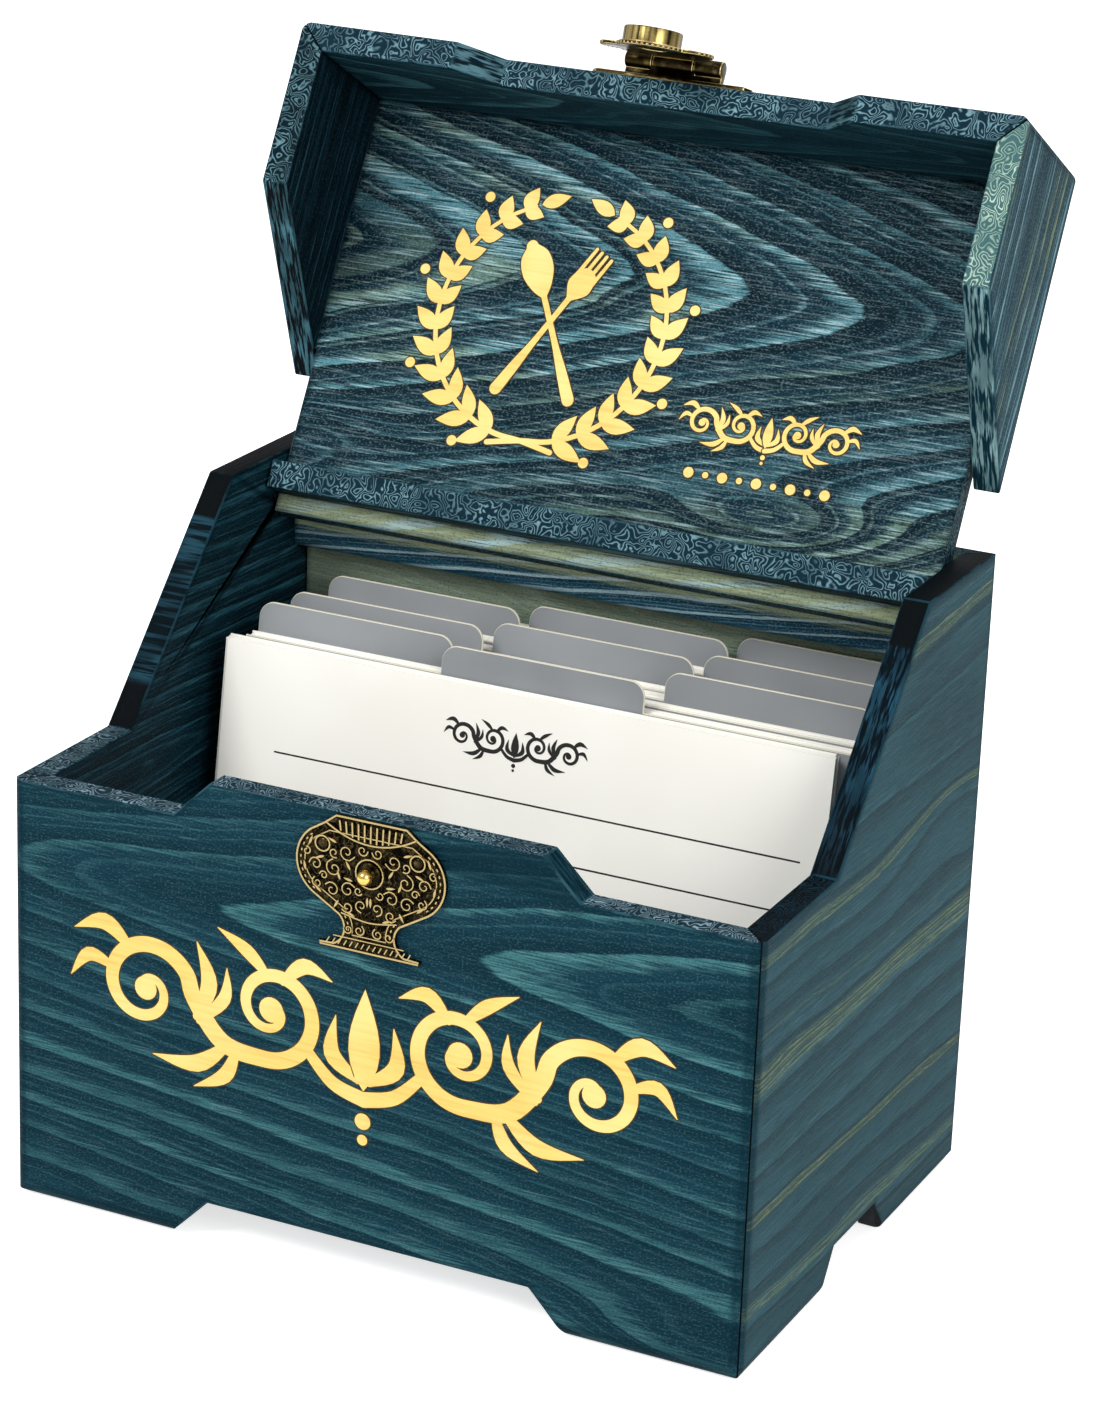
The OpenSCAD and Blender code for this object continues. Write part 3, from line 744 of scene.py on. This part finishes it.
# The rail's palette is brightened and its top band paler: painted light that lifts the shade under
# the lid's tail.
board("back_rail", "box", ALONG_X, wood(
    "rail_wood", ("#0b2d3d", "#1a4c62", "#b0d0d8", "#c6dee2"), (-74, 141, 3.2, 30, 0.7),
    widest=0.24, thin=0.3, least=0.5, fray=0.35, pale_hairs=0.2, dark_hairs=0.25,
    top=("#a3b18c", 129.5, 131.5, 200), rim=("#2c4030", "#76865c", "#0b2d3d", "#76865c")))
board("lid_top_panel", "lid", FLAT, wood(
    "panel_wood", ("#000c13", "#0d2c39", "#4d7c86", "#a9c8ce"), (74, 40, 7.0, 27, 1.2), wave=1.1,
    eyes=[(43, 92, 27, 8, -2.6), (-84, 88, 20, 6, 1.6)], widest=0.42, least=0.3, pale_hairs=0.65,
    dark_hairs=0.9, tint=("#607c70", 0.52),
    top=("#939f7c", TAIL_Y - 1, TAIL_Y + 0.5, PANEL_LOW.z / MM + 0.5)))
board("lid_front_apron", "lid", ALONG_X, wood(
    "apron_wood", ("#021720", "#0f2f3a", "#2f5a66", "#5c868f"), (30, 120, 7, 50, 0.8),
    widest=0.3, rim=("#0a2430", "#6d929c", "#021720", "#4f747e")))
board("lid_right_cheek", "lid", ALONG_Y, look=wood(
    "cheek_wood", ("#04222d", "#0c3a48", "#7ba5af", "#a4c2c6"), (60, 118, 4.6, 150, 0.6), wave=1.2,
    widest=0.14, thin=0.4, least=0.6, pale_hairs=0.3, tint=("#8a966c", 0.5),
    rim=("#3c5f60", "#b4ccba", "#04222d", "#7b9fa2"), wear_and_highlight="#2a4a55"))
# The left cheek's palette is darkened as painted shade, for its inner face in deep shade.
board("lid_left_cheek", "lid", ALONG_Y, wood(
    "shaded_left_cheek_wood", ("#00060a", "#021019", "#1c4454", "#3f6e7d"), (60, 118, 3.2, 150, 0.6),
    wave=1.2, widest=0.15, thin=0.3, dark_hairs=0.8,
    rim=("#041820", "#5f858f", "#00060a", "#44707d")))
board("lid_rear_rail", "lid", ALONG_X, wood(
    "strip_wood", ("#061c24", "#0a222b", "#4f7482", "#5d8a98"), (0, 0, 9, 60, 1.0),
    rim=("#0a2430", "#6d929c", "#061c24", "#4f747e")))


# Ornament cut through the stain

gold_wood = bare_wood("gold_wood")
burnt = plain("burnt_edge", "#4a3413", "#2e2412", 0.7)


def engraved(name, place, body, draw):
    """Draws an ornament in pale bare wood, with a thin burnt outline round it."""
    for part, top, extra, look in (("_outline", 0.03, 0.3, burnt), ("", 0.09, 0.0, gold_wood)):
        relief = Relief(place, top)
        draw(relief, extra)
        piece(name + part, relief.bm, body, look)


def scrollwork(relief, center, size, extra=0.0):
    """A pair of S scrolls with leaves about a small flower, 150 by 40 mm at size 1."""
    cx, cy = center

    def draw(points, side):
        """A stroke, mirrored at the left."""
        scaled = [(cx + side * x * size, cy + y * size, width * size) for x, y, width in points]
        relief.stroke(scaled, extra, 6)

    # Curved leaves and a stem at the right, as (x, y, width) points
    leaves = (
        ((35.5, -9.6, 2.1), (43.5, -15.8, 4.2), (55, -16.0, 0.2)),
        ((33, -10.2, 1.8), (36.0, -17.2, 3.6), (44, -21.6, 0.2)),
        ((43.4, -4, 2.1), (40.2, 5.0, 4.2), (43.5, 14.5, 0.2)),
        ((42.8, -5, 1.6), (36.2, 2.0, 3.2), (35.6, 9.6, 0.2)),
        ((61.5, 9.6, 2.1), (68.0, 14.2, 4.2), (76, 11.2, 0.2)),
        ((65.8, 3.5, 1.7), (72.2, 5.2, 3.4), (77, -0.8, 0.2)),
        ((21, 9.6, 1.9), (15.5, 14.6, 3.8), (8.5, 12.4, 0.2)),
        ((25, 10.2, 1.7), (30.5, 15.2, 3.4), (38, 19.2, 0.2)),
        ((14.8, -5.5, 2.6), (8, -12.2, 3.4), (0, -14.6, 3.8)),
        ((1.5, -10, 2.1), (8.2, -5, 4.2), (7.4, 4.5, 0.2)))
    for side in (-1, 1):
        inner = spiral((24, 2), 2.4, 12.8, -78 - 1.3 * 360, 1.3, 1.6, 2.6, 16)
        outer = spiral((57, 0), 13.0, 2.2, 180, -1.3, 4.4, 0.35, 16)
        draw(inner + [(36.6, -8.9, 4.6)] + outer, side)
        for x, y, r in ((24, 2, 3.1), (57, 0, 2.9)):
            relief.dot(cx + side * x * size, cy + y * size, r * size + extra)
        for points in leaves:
            draw(points, side)
    for y, r in ((-20, 2.0), (-24.6, 1.3)):
        relief.dot(cx, cy + y * size, r * size + extra)
    relief.leaf(cx, cy - 12.5 * size, 90, 25 * size, 8.0 * size, extra)


def wreath(relief, extra):
    """A leaf wreath round a crossed fork and spoon, for the inside of the lid."""
    cx, cy, r = -25.0, -4.0, 29.0

    def at(reach, turn):
        """A point by its distance and direction from the middle."""
        a = math.radians(turn)
        return cx + reach * math.cos(a), cy + reach * math.sin(a)

    def tool(lean, *parts):
        """A stroke through the middle, from (distance, width) points."""
        relief.stroke([(*at(along, lean), width) for along, width in parts], extra)

    for side in (-1, 1):
        branch = [(*at(r + (2.6 if i == 0 else 0), -90 + side * (-15 + 173 * i / 12)), 1.3 - 0.03 * i)
                  for i in range(13)]
        relief.stroke(branch, extra, 4)
        for i in range(12):
            turn = -90 + side * (16 + 12.4 * i)
            along = turn + side * 90
            relief.leaf(*at(r, turn), along - side * 40, 9.2 - 0.28 * i, 3.8, extra)
            relief.leaf(*at(r, turn), along + side * 40, 8.4 - 0.28 * i, 3.5, extra)
            if i % 3 == 1:
                relief.dot(*at(r + 6.9, turn), 1.25 + extra)
        relief.leaf(*at(r, -90 + side * 161), 90 + side * 66, 7.5, 3.4, extra)
    handle = ((-20, 3.0), (-13, 2.5), (-5, 1.5), (8, 1.4))
    spoon, fork = 118, 62
    tool(spoon, *handle)
    tool(spoon, (6.5, 1.5), (9, 5.0), (13, 7.8), (17, 7.0), (19.5, 3.0))
    tool(fork, *handle)
    tool(fork, (7, 1.6), (10, 6.0), (12.5, 5.9))
    c, s = math.cos(math.radians(fork)), math.sin(math.radians(fork))
    for tine in (-2.4, -0.8, 0.8, 2.4):
        x, y = cx + 12 * c - tine * s, cy + 12 * s + tine * c
        relief.stroke([(x, y, 1.0), (x + 8 * c, y + 8 * s, 0.8)], extra)


def front_scrolls(relief, extra):
    """The large scrolls on the front board."""
    scrollwork(relief, (-1.0, 58.5), 0.96, extra)


def tailpiece(relief, extra):
    """A small scroll and a row of large and small dots, to the right of the wreath."""
    scrollwork(relief, (35.0, -21.5), 0.29, extra)
    for x in range(-4, 5):
        relief.dot(35.0 + 4.2 * x, -33.5, (1.25 if x % 2 == 0 else 0.75) + extra)


engraved("front_scrolls", upright(FRONT_Y, 0), "box", front_scrolls)
engraved("lid_wreath", PANEL_PLANE, "lid", wreath)
engraved("lid_tailpiece", PANEL_PLANE, "lid", tailpiece)


# Brass and steel

antique = brass("antique_brass", "#17130a", "#d2b878")
bronze = brass("bronze", "#241d0e", "#cbb67c", rough=0.3)
chased = brass("chased_brass", "#070604", "#6d603f", wear_and_highlight=0.9, lines=0.4, rough=0.5)
bright = plain_metal("bright_brass", "#e2c069", 0.22)
steel = plain_metal("steel", "#b9bcc0", 0.35)
rubbed = plain_metal("rubbed_brass", "#b09c6c", 0.35)
# The boss's brass carries painted reflections in its streaks.
boss_brass = turned_brass("boss_brass", "#241e10", "#b8a366")
for node, metal in (("left_hinge_pin", steel), ("right_hinge_pin", steel),
                    ("hasp_hinge_pin", bronze), ("hasp_plate_tacks", bronze)):
    frame["nodes"][node].data.materials.clear()
    frame["nodes"][node].data.materials.append(metal)


def mirrored(side):
    """A closed outline from its right half, which runs from the top to the bottom."""
    return side + [(-x, y) for x, y in side[::-1]]


def inset(outline, distance):
    """The outline moved inwards, without the points that would come too near another side."""
    made = []
    count = len(outline)
    for i, (x, y) in enumerate(outline):
        before, after = outline[i - 1], outline[(i + 1) % count]
        ax, ay = unit(x - before[0], y - before[1])
        bx, by = unit(after[0] - x, after[1] - y)
        reach = distance / max(1 + ax * bx + ay * by, 0.2)
        px, py = x + (ay + by) * reach, y - (ax + bx) * reach
        near = min(from_side(px, py, outline[k - 1], outline[k]) for k in range(count))
        if near > 0.96 * distance:
            made.append((px, py))
    return made


def unit(x, y):
    """The direction of (x, y)."""
    length = math.hypot(x, y) or 1.0
    return x / length, y / length


def from_side(x, y, a, b):
    """How far a point is from the side between a and b."""
    dx, dy = b[0] - a[0], b[1] - a[1]
    t = ((x - a[0]) * dx + (y - a[1]) * dy) / max(dx * dx + dy * dy, 1e-9)
    t = min(max(t, 0), 1)
    return math.hypot(x - a[0] - t * dx, y - a[1] - t * dy)


def vase_outline(height):
    """The catch plate's outline, about the middle of its lower edge."""
    side = [(8.5, height), (11.2, height - 2.1)]
    side += arc((9, 19.1), 9, 52, -62, 20)
    side += arc((10.3, 4.8), 4.1, 135, 245, 14)
    return mirrored(side + [(12.3, 0.9), (12, 0)])


def curl(lines, side, *shape):
    """A thin scroll, mirrored at the left."""
    points = spiral(*shape)
    lines.stroke(points if side > 0 else flip(points), 0, 2)


def catch_plate():
    """The vase-shaped plate: a chased ground, and the lines raised from it."""
    low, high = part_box("catch_plate")
    height = (high.z - low.z) / MM
    thick = (high.y - low.y) / MM
    place = upright(FRONT_Y, low.z)
    outline = vase_outline(height)
    bm = bmesh.new()
    rear, front = [[point(bm, place, x, y, h) for x, y in outline[::-1]] for h in (0, thick - 0.25)]
    prism(bm, front, rear)
    piece("catch_plate_ground", bm, "box", chased, ["catch_plate"])
    lines = Relief(place, top=thick, foot=thick - 0.5)
    lines.closed(inset(outline, 0.22), 0.4)
    lines.closed([(x, y) for x, y in inset(outline, 2.2) if 3.2 < y < height - 3.4], 0.24)
    dashes = inset(outline, 1.25)
    for i in range(0, len(dashes) - 1, 2):
        (ax, ay), (bx, by) = dashes[i], dashes[i + 1]
        if 4 < ay < height - 3.5 and math.hypot(bx - ax, by - ay) < 2:
            lines.stroke([(ax, ay, 0.3), ((ax + bx) / 2, (ay + by) / 2, 0.3)], 0, 1)

    def mouth(x):
        """The height of the hollow line below the rays along the upper edge."""
        return height - 5.4 + 3.2 * (x / 10.6) ** 2

    lines.stroke([(x, mouth(x), 0.34) for x in [-10.6 + 2.12 * i for i in range(11)]], 0, 3)
    for i in range(11):
        x = -7.5 + 1.5 * i
        lines.stroke([(x, height - 1.2, 0.36), (x * 0.96, mouth(x) + 0.6, 0.36)], 0, 1)
    for i in range(15):
        x = -9.8 + 1.4 * i
        lines.stroke([(x - 0.3, 1.1, 0.26), (x + 0.3, 2.2, 0.26)], 0, 1)
    lines.stroke([(-8.4, 2.9, 0.24), (8.4, 2.9, 0.24)], 0, 4)
    lines.stroke([(-6.6, 8.4, 0.3), (0, 7.4, 0.3), (6.6, 8.4, 0.3)], 0, 4)
    scrolls = (
        (5.6, 22.4, 2.0, 200, 1.3), (8.6, 18.2, 2.1, 80, -1.3), (13.0, 18.4, 1.6, 0, 1.2),
        (5.2, 13.9, 1.9, 150, -1.2), (9.0, 13.3, 1.8, 30, 1.2), (1.9, 10.9, 1.5, 270, 1.1),
        (12.6, 14.2, 1.3, 60, -1.1), (1.8, 23.6, 1.3, 180, 1.1), (5.2, 10.0, 1.4, 330, -1.2),
        (2.2, 5.2, 1.3, 120, 1.2), (4.9, 5.0, 1.1, 0, -1.1), (8.6, 21.8, 1.2, 240, 1.0),
        (15.2, 21.0, 1.0, 90, 1.0), (11.0, 16.2, 1.0, 10, 1.1), (2.6, 14.2, 1.0, 210, 1.0))
    for x, y, r, start, turns in scrolls:
        for side in (1, -1):
            curl(lines, side, (x, y), r, 0.35, start, turns, 0.27, 0.8, 10)
    for side in (-1, 1):
        for x, y, angle in ((7.0, 15.9, 70), (8.0, 24.2, 20), (14.6, 22.6, 110), (4.6, 18.6, 60),
                            (7.3, 11.2, -60), (4.0, 16.2, 10), (10.9, 20.6, -20), (3.3, 8.2, 20),
                            (11.5, 12.2, 40), (15.4, 16.5, 80), (0.4, 13.2, -90)):
            turn = angle if side > 0 else 180 - angle
            lines.leaf(side * x, y, turn, 2.3, 0.55)
        lines.closed(arc((side * 11.4, 23.4), 1.75, 0, 337, 15), 0.32)
    lines.closed(arc((0, 18.6), 3.3, 0, 342, 19), 0.3)
    piece("catch_plate_lines", lines.bm, "box", rubbed)


# The radius of the stud's ball, and a tack's domed head as (radius, height) points
BALL_R = 1.75
DOME = [(1.2, 0), (1.2, 0.12), (1.1, 0.3), (0.85, 0.44), (0.45, 0.5), (0.05, 0.52)]


def stud_and_tacks():
    """The round stud on its collar, and the two tacks of the catch plate."""
    reach = (FRONT_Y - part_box("catch_stud")[0].y) / MM
    plate = (FRONT_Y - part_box("catch_plate")[0].y) / MM
    place = upright(FRONT_Y, STUD_Z)
    collar = turned(place, [(2.6, plate), (2.6, plate + 0.5), (2.3, plate + 0.8),
                            (1.5, plate + 0.8), (1.2, plate + 1.2), (1.1, reach - 3.0)])
    piece("stud_collar", collar, "box", antique, smooth=40)
    turns = [math.pi * t / 12 for t in range(2, 13)]
    ball = turned(place, [(BALL_R * math.sin(a) + 0.01, reach - BALL_R - BALL_R * math.cos(a))
                          for a in turns])
    piece("stud_ball", ball, "box", bright, ["catch_stud"], smooth=60)
    low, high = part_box("catch_plate_tacks")
    heads = bmesh.new()
    for side in (-1, 1):
        spot = upright(FRONT_Y, (low.z + high.z) / 2, side * (high.x - DOME[0][0] * MM))
        turned(spot, [(r, h + plate) for r, h in DOME], 24, heads)
    piece("catch_plate_tack_heads", heads, "box", bronze, ["catch_plate_tacks"],
          smooth=50)


# The hasp's hinge, with y to the rear, and its resting flap
HINGE = LID_OPEN @ Matrix.Translation(HASP_CLOSED)
FLAP = HINGE @ Matrix.Rotation(FLAP_REST, 4, "X")
KNUCKLE_R = 1.9
PLATE_THICK = 1.0


def base_outline():
    """The hasp's fixed plate, about the middle of its hinge."""
    side = [(18.5, -1.6), (20, 0.2)]
    side += arc((14.6, 4.4), 4.4, 0, 96, 8)
    side += arc((9, 12.4), 4.6, 318, 200, 8)
    side += [(3.4, 13.6), (0, 15.4)]
    return mirrored(side)


def lip():
    """The fixed plate's middle edge, turned up towards the flap's barrel and a little clear of it."""
    bm = bmesh.new()
    back = (FRONT_Y - HASP_CLOSED.y) / MM - 0.8
    edge = [(back, -2.0), *arc((0, 0), KNUCKLE_R + 0.2, -40, 40, 8), (back, 3.2)]
    left, right = [[point(bm, HINGE, x, y, z) for y, z in edge] for x in (-5.3, 5.3)]
    prism(bm, left, right)
    return bm


def hasp_plates():
    """The hasp's fixed plate with its lip, and its swinging flap."""
    mesh = eased("hasp_base_plate", 0.18, shortest=0.25)
    piece("hasp_plate", mesh, "lid", bronze, ["hasp_base_plate"], smooth=35)
    piece("hasp_plate_lip", lip(), "lid", bronze, smooth=35)
    mesh = eased("hasp_flap", 0.18, shortest=0.25)
    piece("hasp_flap_plate", mesh, "hasp", bronze, ["hasp_flap"], smooth=35)


def plate_lines():
    """The lines raised from the hasp's fixed plate."""
    face = HINGE @ upright(FRONT_Y - PLATE_THICK * MM - HASP_CLOSED.y, 0)
    lines = Relief(face, top=0.16, foot=-0.1)
    outline = base_outline()[::-1]
    lines.closed([(x, y) for x, y in inset(outline, 0.9) if y > 2.6], 0.32)
    for side in (-1, 1):
        for x, y, r, start, turns in ((14.4, 4.6, 3.0, 250, 1.2), (8.6, 8.0, 2.2, 60, -1.3),
                                      (4.0, 5.4, 1.9, 200, 1.2), (3.6, 10.6, 1.7, 330, -1.2)):
            curl(lines, side, (x, y), r, 1.9 if r > 2.9 else 0.4, start, turns, 0.34, 0.8, 10)
        lines.leaf(side * 11.0, 4.6, 90 + side * 40, 3.4, 1.0)
        lines.leaf(side * 6.2, 4.0, 90 - side * 50, 2.8, 0.9)
    lines.leaf(0, 8.4, 90, 4.6, 1.6)
    piece("hasp_plate_lines", lines.bm, "lid", rubbed)


def flap_lines():
    """The lines raised from the flap, and the beads along its edge."""
    drop = BOSS_DROP / MM
    lobe = (9.1, 3.3 - drop)
    left_lobe = (-lobe[0], lobe[1])
    face = FLAP @ upright(-KNUCKLE_R * MM, 0)
    lines = Relief(face, top=0.16, foot=-0.1)
    for side in (-1, 1):
        curl(lines, side, lobe, 3.4, 0.5, 150, 1.4, 0.34, 0.8, 12)
        curl(lines, side, (8.0, 8.7 - drop), 2.0, 0.4, 250, -1.3, 0.34, 0.8, 10)
        lines.leaf(side * 4.2, 9.4 - drop, 90 - side * 20, 2.8, 1.0)
    lines.stroke([(-4.2, -2.6, 0.34), (4.2, -2.6, 0.34)], 0, 2)
    lines.closed(arc((0, -drop), 7.15, 0, 352, 44), 0.34)
    piece("hasp_flap_lines", lines.bm, "hasp", rubbed)
    bm = bmesh.new()
    beads = arc((0, 1.7 - drop), 8.25, 207, 333, 15)
    beads += arc(lobe, 4.25, -50, 75, 8) + arc(left_lobe, 4.25, 105, 230, 8)
    for x, y in beads:
        spot = face @ Matrix.Translation((x * MM, y * MM, -0.4 * MM))
        bmesh.ops.create_icosphere(bm, subdivisions=2, radius=0.5 * MM, matrix=spot)
    piece("hasp_flap_beads", bm, "hasp", rubbed, smooth=60)


def boss():
    """The flap's round hollow boss with a rim, and a flower on its face."""
    spot = FLAP @ upright(-KNUCKLE_R * MM, -BOSS_DROP)
    cup = turned(spot, [(0.05, 2.8), (5.1, 2.8), (5.15, 0.02), (6.6, 0.02), (6.75, 0.2),
                        (6.75, 3.2), (6.62, 3.48), (6.35, 3.6), (5.5, 3.6), (5.2, 3.45),
                        (5.1, 3.2), (0.05, 3.1)], 72)
    piece("hasp_boss_cup", cup, "hasp", boss_brass, ["hasp_boss"], smooth=35)
    face = turned(spot, [(0.05, 3.05), (5.05, 3.05), (4.9, 3.22), (4.7, 3.22), (4.5, 3.42),
                         (4.2, 3.42), (4.0, 3.22), (1.3, 3.22), (1.1, 3.45), (0.6, 3.58),
                         (0.05, 3.6)], 72)
    piece("hasp_boss_face", face, "hasp", chased, smooth=35)
    lines = Relief(FLAP @ upright((-KNUCKLE_R - 3.2) * MM, -BOSS_DROP), top=0.2, foot=-0.1)
    for i, (x, y) in enumerate(arc((0, 0), 1.5, 0, 315, 7)):
        lines.leaf(x, y, 45 * i, 2.3, 1.0)
    piece("hasp_boss_flower", lines.bm, "hasp", rubbed)


catch_plate()
stud_and_tacks()
hasp_plates()
plate_lines()
flap_lines()
boss()


# Paper

card_paper = paper("card_paper", "#f7f5ee", "#f1eee5", "#fbf9f4")
tab_board = paper("tab_board", "#8d9194", "#7b7f82", "#d3cebb", 0.45)
ink = plain("ink", "#1d1c1a", "#2a2826")
LEAN = math.radians(8)
UP_SHEET = Vector((0, math.sin(LEAN), math.cos(LEAN)))
CARD_LENGTH = (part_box("front_card")[1].z - FLOOR_TOP) / math.cos(LEAN)


def sheets(node, thick, step, chance):
    """Leaning sheets that fill a card node's block, each a little out of line."""
    bm = bmesh.new()
    low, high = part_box(node)
    depth = high.y - low.y - (high.z - low.z) * math.tan(LEAN)
    count = max(1, int((depth / MM + step - thick) / step))
    for i in range(count):
        y = low.y + (depth - thick * MM) * (i / max(count - 1, 1))
        slip = chance.uniform(-0.7, 0.7) * MM
        short = chance.uniform(0, 0.9) * MM if count > 1 else 0
        foot = Vector((0, y, FLOOR_TOP))
        top = foot + UP_SHEET * (CARD_LENGTH - short)
        corners = ((foot, low.x), (foot, high.x), (top, high.x), (top, low.x))
        front = [bm.verts.new(end + Vector((x + slip, 0, 0))) for end, x in corners]
        rear = [bm.verts.new(corner.co + Vector((0, thick * MM, 0))) for corner in front]
        prism(bm, front, rear)
    return bm


def cards():
    """The front card, and the dividers with their packs of cards."""
    chance = random.Random(7)
    for i in range(1, 10):
        node = f"card_pack_{i}"
        pack = sheets(node, 0.36, 0.52, chance)
        piece(f"cards_{i}", pack, "box", card_paper, [node])
        make_divider(f"divider_{i}")
    card = sheets("front_card", 0.5, 1.0, chance)
    piece("front_sheet", card, "box", card_paper, ["front_card"])


def make_divider(node):
    """A divider whose cut edges are pale."""
    mesh = eased(node, 0.12, 1, shortest=0.2)
    rim = mesh.attributes.new("rim", "FLOAT", "FACE")
    facing_front = Vector((0, -math.cos(LEAN), math.sin(LEAN)))
    for face in mesh.polygons:
        rim.data[face.index].value = float(abs(face.normal.dot(facing_front)) < 0.8)
    piece(node + "_sheet", mesh, "box", tab_board, [node])


def card_print():
    """Ruled lines and a small ornament at the head of the front card."""
    low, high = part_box("front_card")
    middle = (low.x + high.x) / 2
    top = Vector((middle, low.y, FLOOR_TOP)) + UP_SHEET * CARD_LENGTH
    lines = Relief(plane(top, (1, 0, 0), UP_SHEET), top=0.02, foot=-0.02)
    for y, start, end in ((-24.5, -61, 71), (-36.5, -21, 71), (-49.5, 8, 14.5), (-49.5, 46, 71)):
        lines.stroke([(start, y, 0.42), (end, y, 0.42)], 0, 1)
    scrollwork(lines, (0, -11.5), 0.235)
    piece("card_lines", lines.bm, "box", ink)


cards()
card_print()


# Stage

def pale_floor():
    """A pale matt surface that shows white to the camera and keeps its shadows."""
    n = Net("pale_floor")
    rays = n.node("LightPath")
    seen = n.math("MAXIMUM", rays.outputs["Is Camera Ray"], rays.outputs["Is Glossy Ray"])
    seen = n.math("MAXIMUM", seen, rays.outputs["Is Transmission Ray"])
    diffuse = n.node("BsdfDiffuse", ["#e8e8e8"])
    glow = n.node("Emission", ["#ffffff", n.times(seen, 0.68)])
    return n.show(n.node("AddShader", (diffuse.outputs[0], glow.outputs[0])))


def stage():
    """The floor, and a white world that lights the object less than it shows."""
    bm = bmesh.new()
    bmesh.ops.create_grid(bm, x_segments=1, y_segments=1, size=6)
    ground = add("floor", mesh_of("floor", bm))
    ground.data.materials.append(pale_floor())
    ground.location.z = -0.2 * MM
    n = Net("world", "worlds")
    bpy.context.scene.world = n.owner
    strength = n.step(n.node("LightPath").outputs["Is Camera Ray"], 0.0, 1.0, 0.64, 1.0)
    n.show(n.node("Background", ("#ffffff", strength)), "OutputWorld")


MIDDLE = Vector((0, 0, 0.12))


def lamp(name, place, size, power):
    """A round soft lamp that points at the object's middle."""
    data = bpy.data.lights.new(name, "AREA")
    data.shape = "DISK"
    data.size = size
    data.energy = power
    made = add(name, data)
    made.location = place
    made.rotation_euler = (MIDDLE - Vector(place)).to_track_quat("-Z", "Y").to_euler()


def camera():
    """The photograph's viewing angle, fitted to the box's corners."""
    data = bpy.data.cameras.new("camera")
    data.sensor_width = 36
    data.lens = 106.73
    made = add("camera", data)
    made.location = (0.38591, -0.80688, 0.43602)
    made.rotation_euler = [math.radians(a) for a in (69.976, -2.031, 26.051)]
    bpy.context.scene.camera = made


stage()
lamp("key", (-0.7, -1.3, 1.5), 0.9, 26)
lamp("fill", (1.3, -0.9, 0.9), 1.0, 14)
lamp("rear", (0.2, 1.1, 1.4), 0.8, 9)
camera()
bpy.context.scene.view_settings.view_transform = "Standard"
